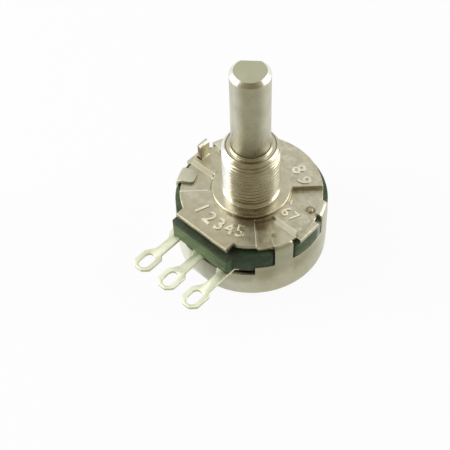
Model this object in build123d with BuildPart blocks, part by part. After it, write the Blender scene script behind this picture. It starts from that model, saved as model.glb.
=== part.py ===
from build123d import *
from math import atan2, cos, degrees, radians, sin
import os

os.makedirs("parts", exist_ok=True)

# Panel potentiometer, millimetres.
# Origin: on the shaft axis, at the flat back of the can. +Z runs out along the shaft.
# The three solder terminals point towards -Y.

# Shaft
shaft_diameter = 6.0
shaft_reach = 25.0
shaft_end_chamfer = 0.6
flat_length = 7.0
flat_depth = 1.05
flat_direction = 128.7
shaft_bore_clearance = 0.03
shaft_rear_diameter = 5.2
shaft_rear_across_flats = 4.2
shaft_tail_diameter = 3.8
shaft_head_diameter = 5.2
shaft_head_height = 0.45
mouth_groove_depth = 0.2
mouth_groove_inside = 0.4
mouth_groove_outside = 0.2

# Threaded mounting bushing, turned in one piece
thread_diameter = 9.0
bushing_reach = 10.0
thread_end_chamfer = 0.7
bore_end_chamfer = 0.3
thread_neck_depth = 0.35
thread_neck_height = 0.8
neck_foot_height = 0.4
neck_foot_overlap = 0.05
bushing_flange_diameter = 12.4
bushing_flange_height = 0.6
bushing_flange_chamfer = 0.12
bushing_spigot_diameter = 10.0
bushing_stake_clearance = 0.25
bushing_stake_height = 0.5

# Formed front plate
plate_edge_clearance = 0.35
plate_thickness = 0.8
plate_step = 0.85
riser_wall = 0.48
riser_wall_angle = 4.5
hub_margin = 0.1
hub_riser_run = 0.3
recess_angle = 44.2
recess_riser_angle = 1.8
bar_half_width = 1.7
bar_riser_run = 0.45
bar_end_run = 0.3
ear_setback = 0.6
ear_side_margin = 0.5
lug_width = 1.9
lug_height = 3.05
lug_setback = 2.2
lug_edge_radius = 0.25
lug_window_length = 1.6
lug_side_gap = 0.15
pip_diameter = 1.5
pip_height = 0.35
pip_setback = 1.38
pip_angle = 19.4

# Drawn can with four folded claws
can_diameter = 24.2
can_wall = 0.5
can_height = 7.15
can_corner_chamfer = 0.4
can_facet_depth = 0.25
claw_angle = 23.5
left_claw_offset = 2.0
claw_width = 14.4
claw_bend_radius = 0.3
claw_reach = 2.9
short_claw_reach = 1.3
claw_corner_share = 0.24
window_half_angle = 44.6
window_clearance = 0.05

# Moulded terminal base
base_inset = 0.1
base_flange_height = 2.95
base_spigot_height = 1.05
base_spigot_clearance = 0.1
base_bore_diameter = 14.8
claw_side_clearance = 0.3
block_width = 11.6
block_overhang = 0.2
block_corner_chamfer = 0.2

# Solder terminals and their rivets
terminal_pitch = 5.1
terminal_thickness = 0.45
terminal_reach = 20.3
terminal_shank_width = 1.6
terminal_eye_width = 3.3
terminal_eye_length = 3.9
terminal_eye_offset = 0.22
terminal_hole_width = 1.75
terminal_hole_length = 2.85
terminal_root_flare = 0.75
terminal_root_drop = 0.2
terminal_flare_length = 1.2
terminal_shoulder = 0.33
terminal_bend_radius = 0.9
terminal_tip_radius = 0.6
terminal_tip_share = 0.28
terminal_shoulder_radius = 0.25
rivet_setback = 3.05
rivet_diameter = 1.2
rivet_head_diameter = 1.9
rivet_head_height = 0.33
rivet_clearance = 0.02
rivet_pocket_clearance = 0.2

# Resistor wafer and what is printed on it
wafer_thickness = 0.7
wafer_edge_clearance = 0.2
wafer_bore_diameter = 7.2
wafer_tongue_setback = 0.5
print_thickness = 0.08
track_radius = 8.2
track_width = 2.0
track_gap_margin = 6.0
pad_angle = 11.0
collector_radius = 5.3
collector_width = 1.5

# Rotor, contact spring, brushes and stop
rotor_drop = 1.95
rotor_thickness = 1.2
rotor_diameter = 17.6
rotor_rim_width = 0.8
rotor_web_recess = 0.35
contact_thickness = 0.25
contact_rise = 0.4
contact_arm_width = 1.7
contact_eye_diameter = 2.3
brush_diameter = 1.5
brush_stem_diameter = 0.8
running_gap = 0.03
keyed_clearance = 0.02
washer_diameter = 9.4
washer_thickness = 0.3
washer_bore_clearance = 0.1
ring_diameter = 9.2
ring_thickness = 0.6
ring_groove_diameter = 4.8
ring_mouth = 4.3
stop_plate_thickness = 0.8
stop_tab_clearance = 0.4
stop_tab_half_angle = 14.5
fixed_stop_half_angle = 15.0
fixed_stop_clearance = 0.6
insulator_thickness = 0.25
insulator_clearance = 0.5

# Levels above the back of the can
rim_level = can_height
base_top = rim_level + base_flange_height
recess_level = base_top + plate_thickness
land_level = recess_level + plate_step
land_under = land_level - plate_thickness
mounting_level = land_level + bushing_flange_height
bushing_end = mounting_level + bushing_reach
shaft_end = mounting_level + shaft_reach
base_bottom = rim_level - base_spigot_height
terminal_top = base_bottom + terminal_thickness
wafer_bottom = base_bottom - wafer_thickness
print_bottom = wafer_bottom - print_thickness
window_floor = wafer_bottom - window_clearance
rotor_top = wafer_bottom - rotor_drop
rotor_bottom = rotor_top - rotor_thickness
bushing_rear = land_under - bushing_stake_height
washer_rear = bushing_rear - washer_thickness
ring_front = washer_rear - running_gap
ring_rear = ring_front - ring_thickness
stop_rear = ring_rear - stop_plate_thickness
brush_tip = print_bottom - running_gap
contact_seat = rotor_top + contact_thickness + contact_rise

# Radii and angles that several pieces share
shaft_radius = shaft_diameter / 2
bore_radius = shaft_radius + shaft_bore_clearance
thread_radius = thread_diameter / 2
neck_radius = thread_radius - thread_neck_depth
hub_radius = bushing_flange_diameter / 2 + hub_margin
hub_hollow_radius = hub_radius + hub_riser_run - plate_thickness
stake_radius = hub_hollow_radius - bushing_stake_clearance
can_radius = can_diameter / 2
can_bore_radius = can_radius - can_wall
can_facet_distance = can_radius - can_facet_depth
plate_radius = can_bore_radius - plate_edge_clearance
pip_distance = plate_radius - pip_setback
base_radius = can_radius - base_inset
lug_distance = base_radius - lug_setback
base_bore_radius = base_bore_diameter / 2
block_front = can_facet_distance + block_overhang
rivet_distance = block_front - rivet_setback
base_spigot_radius = can_bore_radius - base_spigot_clearance
claw_side_angle = degrees(claw_side_clearance / can_radius)
terminal_side = -90.0
far = 2 * can_radius
claw_angles = [claw_angle, 180 - claw_angle, 180 + claw_angle + left_claw_offset, 360 - claw_angle]
terminal_places = {"left": -terminal_pitch, "middle": 0.0, "right": terminal_pitch}
rivet_places = [(x, -rivet_distance) for x in terminal_places.values()]
rivet_hole_radius = rivet_diameter / 2 + rivet_clearance
shank = terminal_shank_width / 2
flare = shank + terminal_root_flare


def polar(radius, angle):
    """Point at a radius and an angle about the shaft axis."""
    return (radius * cos(radians(angle)), radius * sin(radians(angle)))


def ring_sector(inner, outer, start, end, mode=Mode.ADD):
    """Segment of a ring, in the sketch that is being drawn."""
    with BuildLine() as outline:
        CenterArc((0, 0), inner, start, end - start)
        CenterArc((0, 0), outer, start, end - start)
        Line(polar(inner, start), polar(outer, start))
        Line(polar(inner, end), polar(outer, end))
    make_face(outline.edges(), mode=mode)


def two_fold(middle, half_angle):
    """The same sector about two opposite directions."""
    return [(turn - half_angle, turn + half_angle) for turn in (middle, middle + 180)]


def finish(part, name):
    """Label a finished piece and write its file."""
    part.label = name
    export_step(part, f"parts/{name}.step")


# Shaft: round bar with a milled flat, a relief at the bushing's mouth, a ring groove, a keyed rear and a tail
with BuildPart() as shaft:
    with BuildSketch(Plane.XY.offset(ring_front)):
        Circle(shaft_radius)
    extrude(amount=shaft_end - ring_front)
    chamfer(shaft.edges().sort_by(Axis.Z)[-1], length=shaft_end_chamfer)
    with BuildSketch(Plane.XY.offset(ring_rear)):
        Circle(ring_groove_diameter / 2)
    extrude(amount=ring_thickness)
    with BuildSketch(Plane.XY.offset(rotor_top)):
        Circle(shaft_rear_diameter / 2)
        Rectangle(shaft_rear_diameter, shaft_rear_across_flats, rotation=flat_direction, mode=Mode.INTERSECT)
    extrude(amount=ring_rear - rotor_top)
    with BuildSketch(Plane.XY.offset(rotor_bottom)):
        Circle(shaft_tail_diameter / 2)
    extrude(amount=rotor_thickness)
    with BuildSketch(Plane.XY.offset(rotor_bottom - shaft_head_height)):
        Circle(shaft_head_diameter / 2)
    extrude(amount=shaft_head_height)
    flat_distance = shaft_radius - flat_depth
    with BuildSketch(Plane.XY.offset(shaft_end - flat_length)):
        with Locations(polar(flat_distance + flat_depth, flat_direction)):
            Rectangle(2 * flat_depth, 2 * shaft_diameter, rotation=flat_direction)
    extrude(amount=flat_length, mode=Mode.SUBTRACT)
    with BuildSketch(Plane.XY.offset(bushing_end - mouth_groove_inside)):
        Circle(shaft_diameter)
        Circle(shaft_radius - mouth_groove_depth, mode=Mode.SUBTRACT)
    extrude(amount=mouth_groove_inside + mouth_groove_outside, mode=Mode.SUBTRACT)
finish(shaft.part, "shaft")

# Mounting bushing: threaded barrel, neck, flange that seats on the plate, staked spigot
with BuildPart() as mounting_bushing:
    with BuildSketch(Plane.XZ):
        with BuildLine():
            Polyline(
                (bore_radius, bushing_rear),
                (stake_radius, bushing_rear),
                (stake_radius, land_under),
                (bushing_spigot_diameter / 2, land_under),
                (bushing_spigot_diameter / 2, land_level),
                (bushing_flange_diameter / 2, land_level),
                (bushing_flange_diameter / 2, mounting_level - bushing_flange_chamfer),
                (bushing_flange_diameter / 2 - bushing_flange_chamfer, mounting_level),
                (thread_radius + neck_foot_overlap, mounting_level),
                (neck_radius, mounting_level + neck_foot_height),
                (neck_radius, mounting_level + thread_neck_height),
                (thread_radius, mounting_level + thread_neck_height),
                (thread_radius, bushing_end - thread_end_chamfer),
                (thread_radius - thread_end_chamfer, bushing_end),
                (bore_radius + bore_end_chamfer, bushing_end),
                (bore_radius, bushing_end - bore_end_chamfer),
                close=True,
            )
        make_face()
    revolve(axis=Axis.Z)
finish(mounting_bushing.part, "mounting_bushing")

# Recesses of the plate: a wide sector on each side, less the straight bar that stays up between
recess_floor_angle = recess_angle - recess_riser_angle
bar_foot = bar_half_width + bar_riser_run
ear_width = block_width - 2 * ear_side_margin
with BuildPart() as recesses:
    for mouth, floor in zip(two_fold(0, recess_angle), two_fold(0, recess_floor_angle)):
        with BuildSketch(Plane.XY.offset(land_level)):
            ring_sector(hub_radius, far, *mouth)
        with BuildSketch(Plane.XY.offset(recess_level)):
            ring_sector(hub_radius + hub_riser_run, far, *floor)
        loft(ruled=True)
    with BuildSketch(Plane.XY.offset(recess_level)):
        Rectangle(2 * plate_radius, 2 * bar_foot)
    with BuildSketch(Plane.XY.offset(land_level)):
        Rectangle(2 * (plate_radius - bar_end_run), 2 * bar_half_width)
    loft(ruled=True, mode=Mode.SUBTRACT)

# Front plate: one sheet, pressed into a hub, two lands and two bars, with a lug bent up from one bar
with BuildPart() as front_plate:
    with BuildSketch(Plane.XY.offset(base_top)):
        Circle(plate_radius)
        Rectangle(2 * base_radius, 2 * bar_foot)
        Rectangle(ear_width, block_front - ear_setback, align=(Align.CENTER, Align.MAX))
    extrude(amount=land_level - base_top)
    add(recesses.part, mode=Mode.SUBTRACT)
    with BuildSketch(Plane.XY.offset(base_top)):
        Rectangle(2 * (plate_radius - riser_wall), 2 * (bar_foot - riser_wall))
    with BuildSketch(Plane.XY.offset(land_under)):
        Rectangle(2 * (plate_radius - bar_end_run - riser_wall), 2 * (bar_half_width - riser_wall))
    loft(ruled=True, mode=Mode.SUBTRACT)
    land_mouths = two_fold(90, 90 - recess_floor_angle - riser_wall_angle)
    land_roofs = two_fold(90, 90 - recess_angle - riser_wall_angle)
    for mouth, roof in zip(land_mouths, land_roofs):
        with BuildSketch(Plane.XY.offset(base_top)):
            ring_sector(bushing_spigot_diameter / 2, far, *mouth)
        with BuildSketch(Plane.XY.offset(land_under)):
            ring_sector(bushing_spigot_diameter / 2, far, *roof)
        loft(ruled=True, mode=Mode.SUBTRACT)
    with BuildSketch(Plane.XY.offset(base_top)):
        Circle(hub_hollow_radius)
    extrude(amount=plate_step, mode=Mode.SUBTRACT)
    with BuildSketch(Plane.XY.offset(base_top)):
        Circle(bushing_spigot_diameter / 2)
    extrude(amount=land_level - base_top, mode=Mode.SUBTRACT)
    with BuildSketch(Plane.XY.offset(base_top)):
        with Locations((-lug_distance, 0)):
            Rectangle(lug_window_length, lug_width + 2 * lug_side_gap, align=(Align.MAX, Align.CENTER))
    extrude(amount=land_level - base_top, mode=Mode.SUBTRACT)
    with BuildSketch(Plane.XY.offset(land_under)):
        with Locations((-lug_distance, 0)):
            Rectangle(plate_thickness, lug_width, align=(Align.MAX, Align.CENTER))
    extrude(amount=plate_thickness + lug_height)
    lug_top = front_plate.faces().sort_by(Axis.Z)[-1]
    fillet(lug_top.edges().filter_by(Axis.Y), radius=lug_edge_radius)
    with BuildSketch(Plane.XY.offset(recess_level)):
        with Locations(polar(pip_distance, pip_angle)):
            Circle(pip_diameter / 2)
    extrude(amount=pip_height)
finish(front_plate.part, "front_plate")

# Rear can: drawn cup with a facet on the terminal side, a low window there, and four claws
claw_outer_bend = claw_bend_radius + can_wall
claw_top = recess_level + can_wall


def can_outline(inset):
    """Outline of the can, this far inside its outer face, in the sketch that is being drawn."""
    Circle(can_radius - inset)
    with Locations((0, inset - can_facet_distance)):
        Rectangle(far, far, align=(Align.CENTER, Align.MAX), mode=Mode.SUBTRACT)


with BuildPart() as rear_can:
    with BuildSketch(Plane.XY):
        can_outline(can_corner_chamfer)
    with BuildSketch(Plane.XY.offset(can_corner_chamfer)):
        can_outline(0)
    loft(ruled=True)
    with BuildSketch(Plane.XY.offset(can_corner_chamfer)):
        can_outline(0)
    extrude(amount=can_height - can_corner_chamfer)
    with BuildSketch(Plane.XY.offset(can_wall)):
        can_outline(can_wall)
    extrude(amount=can_height, mode=Mode.SUBTRACT)
    with BuildSketch(Plane.XY.offset(window_floor)):
        ring_sector(
            can_bore_radius / 2,
            far,
            terminal_side - window_half_angle,
            terminal_side + window_half_angle,
        )
    extrude(amount=can_height, mode=Mode.SUBTRACT)
    for angle in claw_angles:
        reach = short_claw_reach if angle == claw_angle else claw_reach
        tip = can_radius - reach
        with BuildSketch(Plane.XZ.rotated((0, 0, angle - claw_width / 2))):
            with BuildLine():
                Polyline(
                    (can_bore_radius, rim_level),
                    (can_radius, rim_level),
                    (can_radius, claw_top - claw_outer_bend),
                )
                RadiusArc(
                    (can_radius, claw_top - claw_outer_bend),
                    (can_radius - claw_outer_bend, claw_top),
                    -claw_outer_bend,
                )
                Polyline(
                    (can_radius - claw_outer_bend, claw_top),
                    (tip, claw_top),
                    (tip, recess_level),
                    (can_bore_radius - claw_bend_radius, recess_level),
                )
                RadiusArc(
                    (can_bore_radius - claw_bend_radius, recess_level),
                    (can_bore_radius, recess_level - claw_bend_radius),
                    claw_bend_radius,
                )
                Line((can_bore_radius, recess_level - claw_bend_radius), (can_bore_radius, rim_level))
            make_face()
        revolve(axis=Axis.Z, revolution_arc=claw_width)
        claw_edges = rear_can.edges(Select.LAST).filter_by(Axis.Z)
        claw_corners = claw_edges.filter_by_position(Axis.Z, recess_level, claw_top)
        fillet(claw_corners, radius=reach * claw_corner_share)
finish(rear_can.part, "rear_can")

# Terminal base: moulded ring with a flange on the can's rim, a block over the terminals, an inner stop
block_half = block_width / 2
slot_half = terminal_pitch + flare + rivet_pocket_clearance
slot_back = rivet_distance - flare - rivet_pocket_clearance
with BuildPart() as terminal_base:
    with BuildSketch(Plane.XY.offset(rim_level)):
        Circle(base_radius)
        with Locations((0, -block_front)):
            Rectangle(far, far, align=(Align.CENTER, Align.MAX), mode=Mode.SUBTRACT)
    extrude(amount=base_flange_height)
    with BuildSketch(Plane.XY.offset(base_bottom)):
        Circle(base_spigot_radius)
    extrude(amount=base_spigot_height)
    with BuildSketch(Plane.XY.offset(terminal_top)):
        ring_sector(
            base_bore_radius,
            base_radius,
            terminal_side - window_half_angle + claw_side_angle,
            terminal_side + window_half_angle - claw_side_angle,
        )
        with Locations((0, -block_front)):
            Rectangle(far, far, align=(Align.CENTER, Align.MAX), mode=Mode.SUBTRACT)
        with BuildLine():
            Polyline(
                (-block_half, -rivet_distance),
                (-block_half, block_corner_chamfer - block_front),
                (block_corner_chamfer - block_half, -block_front),
                (block_half - block_corner_chamfer, -block_front),
                (block_half, block_corner_chamfer - block_front),
                (block_half, -rivet_distance),
                close=True,
            )
        make_face()
    extrude(amount=base_top - terminal_top)
    with BuildSketch(Plane.XY.offset(rim_level)):
        for angle in claw_angles:
            half = claw_width / 2 + claw_side_angle
            ring_sector(base_spigot_radius, far, angle - half, angle + half)
    extrude(amount=base_flange_height, mode=Mode.SUBTRACT)
    with BuildSketch(Plane.XY.offset(base_bottom)):
        Circle(base_bore_radius)
    extrude(amount=base_top - base_bottom, mode=Mode.SUBTRACT)
    with BuildSketch(Plane.XY.offset(terminal_top)):
        ring_sector(
            ring_diameter / 2 + fixed_stop_clearance,
            (base_bore_radius + base_radius) / 2,
            terminal_side - fixed_stop_half_angle,
            terminal_side + fixed_stop_half_angle,
        )
    extrude(amount=base_top - terminal_top)
    with BuildSketch(Plane.XY.offset(base_bottom)):
        with Locations((0, -slot_back)):
            Rectangle(2 * slot_half, far, align=(Align.CENTER, Align.MAX))
    extrude(amount=terminal_thickness, mode=Mode.SUBTRACT)
    with BuildSketch(Plane.XY.offset(terminal_top)):
        with Locations(*rivet_places):
            Circle(rivet_head_diameter / 2 + rivet_pocket_clearance)
    extrude(amount=rivet_head_height + rivet_pocket_clearance, mode=Mode.SUBTRACT)
finish(terminal_base.part, "terminal_base")

# Resistor wafer: punched laminate disc with a tongue under the terminals
tongue_half = block_half - wafer_tongue_setback
with BuildPart() as resistor_wafer:
    with BuildSketch(Plane.XY.offset(wafer_bottom)):
        Circle(can_bore_radius - wafer_edge_clearance)
        Rectangle(2 * tongue_half, block_front - wafer_tongue_setback, align=(Align.CENTER, Align.MAX))
        Circle(wafer_bore_diameter / 2, mode=Mode.SUBTRACT)
        with Locations(*rivet_places):
            Circle(rivet_hole_radius, mode=Mode.SUBTRACT)
    extrude(amount=wafer_thickness)
finish(resistor_wafer.part, "resistor_wafer")

# Carbon track: horseshoe printed on the face of the wafer that looks into the can
track_inner = track_radius - track_width / 2
track_outer = track_radius + track_width / 2
track_gap_half_angle = degrees(atan2(terminal_pitch, rivet_distance)) + track_gap_margin
track_start = terminal_side + track_gap_half_angle
track_end = terminal_side + 360 - track_gap_half_angle
with BuildPart() as carbon_track:
    with BuildSketch(Plane.XY.offset(print_bottom)):
        ring_sector(track_inner, track_outer, track_start, track_end)
    extrude(amount=print_thickness)
finish(carbon_track.part, "carbon_track")

# Silver end pads: join the two ends of the track to the outer rivets
half_head = rivet_head_diameter / 2
outer_rivets = [rivet_places[0], rivet_places[2]]
pad_sectors = [(track_end, track_end + pad_angle), (track_start - pad_angle, track_start)]
with BuildPart() as track_end_pads:
    with BuildSketch(Plane.XY.offset(print_bottom)):
        for place, (start, end) in zip(outer_rivets, pad_sectors):
            ring_sector(track_inner, track_outer, start, end)
            with Locations(place):
                Circle(half_head)
            with BuildLine() as bridge:
                Polyline(
                    polar(track_radius, start),
                    (place[0] - half_head, place[1]),
                    (place[0] + half_head, place[1]),
                    polar(track_radius, end),
                    close=True,
                )
            make_face(bridge.edges())
        with Locations(*outer_rivets):
            Circle(rivet_hole_radius, mode=Mode.SUBTRACT)
    extrude(amount=print_thickness)
finish(track_end_pads.part, "track_end_pads")

# Collector ring: silver print round the middle, with a tail to the middle rivet
collector_outer = collector_radius + collector_width / 2
with BuildPart() as collector_ring:
    with BuildSketch(Plane.XY.offset(print_bottom)):
        Circle(collector_outer)
        Rectangle(collector_width, rivet_distance, align=(Align.CENTER, Align.MAX))
        with Locations(rivet_places[1]):
            Circle(rivet_head_diameter / 2)
            Circle(rivet_hole_radius, mode=Mode.SUBTRACT)
        Circle(collector_outer - collector_width, mode=Mode.SUBTRACT)
    extrude(amount=print_thickness)
finish(collector_ring.part, "collector_ring")

# Solder terminals: one stamping, used three times, with a flared root and an oval eye with a shoulder
root = terminal_root_drop - block_front
neck = terminal_eye_length - terminal_reach
eye_left = -terminal_eye_offset - terminal_eye_width / 2
eye_right = -terminal_eye_offset + terminal_eye_width / 2
tip_corner = terminal_eye_width * terminal_tip_share
lug_outline = [
    ((-flare, -rivet_distance), 0),
    ((-flare, root), terminal_bend_radius),
    ((-shank, root - terminal_flare_length), terminal_bend_radius),
    ((-shank, neck + shank), terminal_bend_radius),
    ((eye_left, neck - shank), terminal_bend_radius),
    ((eye_left, tip_corner - terminal_reach), terminal_tip_radius),
    ((eye_left + tip_corner, -terminal_reach), terminal_tip_radius),
    ((eye_right - tip_corner, -terminal_reach), terminal_tip_radius),
    ((eye_right, tip_corner - terminal_reach), terminal_tip_radius),
    ((eye_right, neck - terminal_shoulder), 0),
    ((shank, neck + terminal_shoulder), terminal_shoulder_radius),
    ((shank, -rivet_distance), 0),
]
for side, x in terminal_places.items():
    with BuildPart() as terminal:
        with BuildSketch(Plane.XY.offset(base_bottom)):
            with BuildLine() as outline:
                corners = [(x + point[0], point[1]) for point, radius in lug_outline]
                FilletPolyline(*corners, radius=[radius for point, radius in lug_outline], close=True)
            make_face()
            with Locations((x, -rivet_distance)):
                Circle(flare)
                Circle(rivet_hole_radius, mode=Mode.SUBTRACT)
            with Locations((x - terminal_eye_offset, terminal_eye_length / 2 - terminal_reach)):
                SlotOverall(terminal_hole_length, terminal_hole_width, rotation=90, mode=Mode.SUBTRACT)
        extrude(amount=terminal_thickness)
    finish(terminal.part, f"terminal_{side}")

# Rivets: one to each terminal, headed over the print inside and over the lug outside
for side, place in zip(terminal_places, rivet_places):
    with BuildPart() as rivet:
        with BuildSketch(Plane.XY.offset(print_bottom)):
            with Locations(place):
                Circle(rivet_diameter / 2)
        extrude(amount=terminal_top - print_bottom)
        with BuildSketch(Plane.XY.offset(print_bottom - rivet_head_height), Plane.XY.offset(terminal_top)):
            with Locations(place):
                Circle(rivet_head_diameter / 2)
        extrude(amount=rivet_head_height)
    finish(rivet.part, f"terminal_rivet_{side}")

# Thrust washer: between the back of the bushing and the retaining ring
with BuildPart() as thrust_washer:
    with BuildSketch(Plane.XY.offset(washer_rear)):
        Circle(washer_diameter / 2)
        Circle(shaft_radius + washer_bore_clearance, mode=Mode.SUBTRACT)
    extrude(amount=washer_thickness)
finish(thrust_washer.part, "thrust_washer")

# Retaining ring: open ring snapped into the groove of the shaft
with BuildPart() as retaining_ring:
    with BuildSketch(Plane.XY.offset(ring_rear)):
        Circle(ring_diameter / 2)
        Circle(ring_groove_diameter / 2 + keyed_clearance, mode=Mode.SUBTRACT)
        with Locations(polar(ring_diameter / 2, flat_direction)):
            Rectangle(ring_diameter, ring_mouth, rotation=flat_direction, mode=Mode.SUBTRACT)
    extrude(amount=ring_thickness)
finish(retaining_ring.part, "retaining_ring")


def keyed_hole():
    """Hole that fits the keyed rear of the shaft, in the sketch that is being drawn."""
    with BuildSketch(mode=Mode.PRIVATE) as hole:
        Circle(shaft_rear_diameter / 2 + keyed_clearance)
        Rectangle(
            shaft_diameter,
            shaft_rear_across_flats + 2 * keyed_clearance,
            rotation=flat_direction,
            mode=Mode.INTERSECT,
        )
    add(hole.sketch, mode=Mode.SUBTRACT)


# Stop plate: keyed on the shaft, its tab meets the stop in the base at both ends of travel
with BuildPart() as stop_plate:
    with BuildSketch(Plane.XY.offset(stop_rear)):
        Circle(ring_diameter / 2)
        ring_sector(
            shaft_radius,
            base_bore_radius - stop_tab_clearance,
            flat_direction - stop_tab_half_angle,
            flat_direction + stop_tab_half_angle,
        )
        keyed_hole()
    extrude(amount=stop_plate_thickness)
finish(stop_plate.part, "stop_plate")

# Rotor: moulded disc on the tail of the shaft, hollowed behind between its hub and its rim
with BuildPart() as rotor:
    with BuildSketch(Plane.XY.offset(rotor_bottom)):
        Circle(rotor_diameter / 2)
        Circle(shaft_tail_diameter / 2 + keyed_clearance, mode=Mode.SUBTRACT)
    extrude(amount=rotor_thickness)
    with BuildSketch(Plane.XY.offset(rotor_bottom)):
        Circle(rotor_diameter / 2 - rotor_rim_width)
        Circle(shaft_head_diameter / 2 + rotor_rim_width, mode=Mode.SUBTRACT)
    extrude(amount=rotor_web_recess, mode=Mode.SUBTRACT)
finish(rotor.part, "rotor")

# Contact spring: keyed plate with two joggled arms, one to the track and one to the collector
contact_arms = [(flat_direction, track_radius), (flat_direction + 180, collector_radius)]
contact_hub_radius = collector_radius - contact_eye_diameter / 2 - contact_rise
with BuildPart() as contact_spring:
    with BuildSketch(Plane.XY.offset(rotor_top)):
        Circle(contact_hub_radius)
        keyed_hole()
    extrude(amount=contact_thickness)
    for angle, reach in contact_arms:
        bend_end = reach - contact_eye_diameter / 2
        bend_start = bend_end - contact_rise
        foot = contact_hub_radius - contact_thickness
        with BuildSketch(Plane.XZ.rotated((0, 0, angle))):
            with BuildLine():
                Polyline(
                    (foot, rotor_top),
                    (bend_start, rotor_top),
                    (bend_end, rotor_top + contact_rise),
                    (reach, rotor_top + contact_rise),
                    (reach, contact_seat),
                    (bend_end, contact_seat),
                    (bend_start, rotor_top + contact_thickness),
                    (foot, rotor_top + contact_thickness),
                    close=True,
                )
            make_face()
        extrude(amount=contact_arm_width / 2, both=True)
        with BuildSketch(Plane.XY.offset(rotor_top + contact_rise)):
            with Locations(polar(reach, angle)):
                Circle(contact_eye_diameter / 2)
        extrude(amount=contact_thickness)
        with BuildSketch(Plane.XY.offset(rotor_top + contact_rise)):
            with Locations(polar(reach, angle)):
                Circle(brush_stem_diameter / 2 + keyed_clearance)
        extrude(amount=contact_thickness, mode=Mode.SUBTRACT)
finish(contact_spring.part, "contact_spring")

# Carbon brushes: buttons on the arms, one on the track and one on the collector ring
for name, (angle, reach) in zip(["track_brush", "collector_brush"], contact_arms):
    with BuildPart() as brush:
        with BuildSketch(Plane.XY.offset(contact_seat)):
            with Locations(polar(reach, angle)):
                Circle(brush_diameter / 2)
        extrude(amount=brush_tip - contact_seat)
        with BuildSketch(Plane.XY.offset(rotor_top + contact_rise)):
            with Locations(polar(reach, angle)):
                Circle(brush_stem_diameter / 2)
        extrude(amount=contact_thickness)
    finish(brush.part, name)

# Rear insulator: paper disc on the floor of the can
with BuildPart() as rear_insulator:
    with BuildSketch(Plane.XY.offset(can_wall)):
        Circle(can_bore_radius - insulator_clearance)
    extrude(amount=insulator_thickness)
finish(rear_insulator.part, "rear_insulator")
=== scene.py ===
import bmesh
import bpy
import math
from mathutils import Matrix, Vector


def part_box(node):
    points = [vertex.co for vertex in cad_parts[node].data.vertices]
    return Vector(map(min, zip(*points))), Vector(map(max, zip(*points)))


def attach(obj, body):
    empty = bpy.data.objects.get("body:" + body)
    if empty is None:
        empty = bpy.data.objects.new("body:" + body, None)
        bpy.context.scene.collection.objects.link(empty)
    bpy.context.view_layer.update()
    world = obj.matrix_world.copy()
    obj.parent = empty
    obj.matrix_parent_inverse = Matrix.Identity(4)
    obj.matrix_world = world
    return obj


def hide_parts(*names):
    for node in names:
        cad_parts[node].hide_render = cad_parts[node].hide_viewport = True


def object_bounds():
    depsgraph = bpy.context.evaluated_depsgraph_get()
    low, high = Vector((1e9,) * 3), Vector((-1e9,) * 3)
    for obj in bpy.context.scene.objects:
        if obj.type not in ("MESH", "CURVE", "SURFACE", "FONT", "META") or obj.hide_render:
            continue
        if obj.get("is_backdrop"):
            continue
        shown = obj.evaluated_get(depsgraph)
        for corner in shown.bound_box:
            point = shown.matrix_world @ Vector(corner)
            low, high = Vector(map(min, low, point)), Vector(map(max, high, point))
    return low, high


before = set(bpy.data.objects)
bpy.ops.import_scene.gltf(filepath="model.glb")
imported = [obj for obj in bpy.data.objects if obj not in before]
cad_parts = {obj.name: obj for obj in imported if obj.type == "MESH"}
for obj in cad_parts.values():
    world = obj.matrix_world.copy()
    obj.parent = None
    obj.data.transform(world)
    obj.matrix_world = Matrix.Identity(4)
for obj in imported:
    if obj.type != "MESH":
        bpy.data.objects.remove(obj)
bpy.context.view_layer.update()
mm = 0.001


# Mounting bushing
# Turned from brass bar in one piece and nickel-plated: a barrel with a rolled M9 x 0.75 thread,
# a plain neck, a thin flange that seats on the front plate, and a spigot that is staked behind it.
barrel_low, barrel_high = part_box("mounting_bushing")
thread_radius = 4.5 * mm
thread_pitch = 0.75 * mm
thread_depth = 0.22 * mm
thread_run_out = 0.5 * mm
thread_end_chamfer = 0.35 * mm
first_turns = 2.3 * mm
mouth_radius = 3.9 * mm
neck_radius = 4.15 * mm
bushing_reach = 10 * mm
neck_height = 0.8 * mm
neck_foot_height = 0.4 * mm
neck_foot_radius = thread_radius + 0.05 * mm
neck_foot_corner = 0.05 * mm
neck_fillet = 0.2 * mm
flange_height = 0.6 * mm
flange_radius = barrel_high.x
flange_corner = 0.2 * mm
bore_radius = 3.03 * mm
nose_radius = 3.1 * mm
nose_foot_radius = 3.3 * mm
nose_height = 0.3 * mm
spigot_radius = 5 * mm
stake_radius = 5.55 * mm
stake_height = 0.5 * mm
turned_edge = 0.07 * mm
crease_angle = math.radians(38)
turning_segments = 128
rows_per_turn = 14
land_level = barrel_high.z - bushing_reach - flange_height
mounting_level = land_level + flange_height
thread_start = mounting_level + neck_height
nose_level = barrel_high.z - nose_height
thread_end = nose_level - (thread_radius - thread_end_chamfer - mouth_radius)
nickel_on_brass = (0.58, 0.545, 0.42)
nickel_on_brass_dull = (0.44, 0.395, 0.28)
worn_lip = (0.5, 0.48, 0.36)
painted_flank_highlight = (0.88, 0.88, 0.84)
dull_flange = (0.45, 0.42, 0.29)
painted_crease_shade = (0.11, 0.085, 0.05)
painted_brown_shade = (0.2, 0.145, 0.08)


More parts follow.
